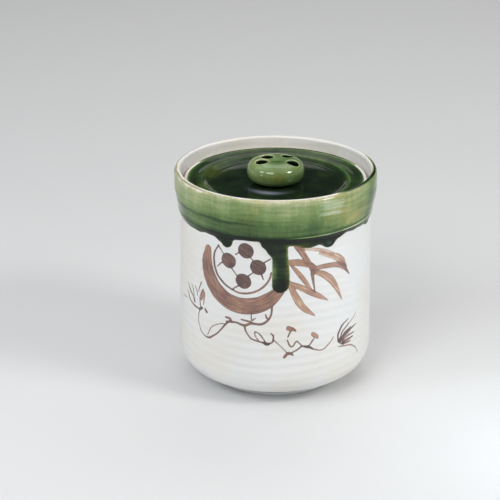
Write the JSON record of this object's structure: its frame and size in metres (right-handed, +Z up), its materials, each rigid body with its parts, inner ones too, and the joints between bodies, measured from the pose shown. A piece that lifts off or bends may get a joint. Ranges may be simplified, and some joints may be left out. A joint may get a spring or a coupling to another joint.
{
  "type": "lidded stoneware fresh-water jar",
  "caption": "Round straight-sided stoneware jar with a thick collar, a foot ring and a sunk lid with a hollow pierced knob; green runs and brown brushwork on pale glaze.",
  "frame": {"origin": "on the wheel's axis, in the plane that the foot ring stands on", "axes": "+Z up along the wheel's axis, -Y towards the painted front with the longest run, +X to the right of it"},
  "size_m": [0.1722, 0.1722, 0.1952],
  "materials": {
    "pale_glaze": "satin glaze over pale stoneware",
    "green_glaze": "glossy copper-green glaze with streaks",
    "deep_green_glaze": "glossy pooled copper-green glaze"
  },
  "bodies": {
    "jar": {"jar_body": "pale_glaze", "foot_ring": "pale_glaze", "lid_ledge": "pale_glaze", "rim_collar": "pale_glaze", "collar_glaze": "green_glaze"},
    "lid": {"lid_plate": "pale_glaze", "lid_glaze": "deep_green_glaze", "lid_knob": "green_glaze"}
  },
  "joints": [
    {"name": "lid_lift", "type": "slide", "parent": "jar", "child": "lid", "axis": [0, 0, 1], "range_m": [0, 0.06]}
  ]
}
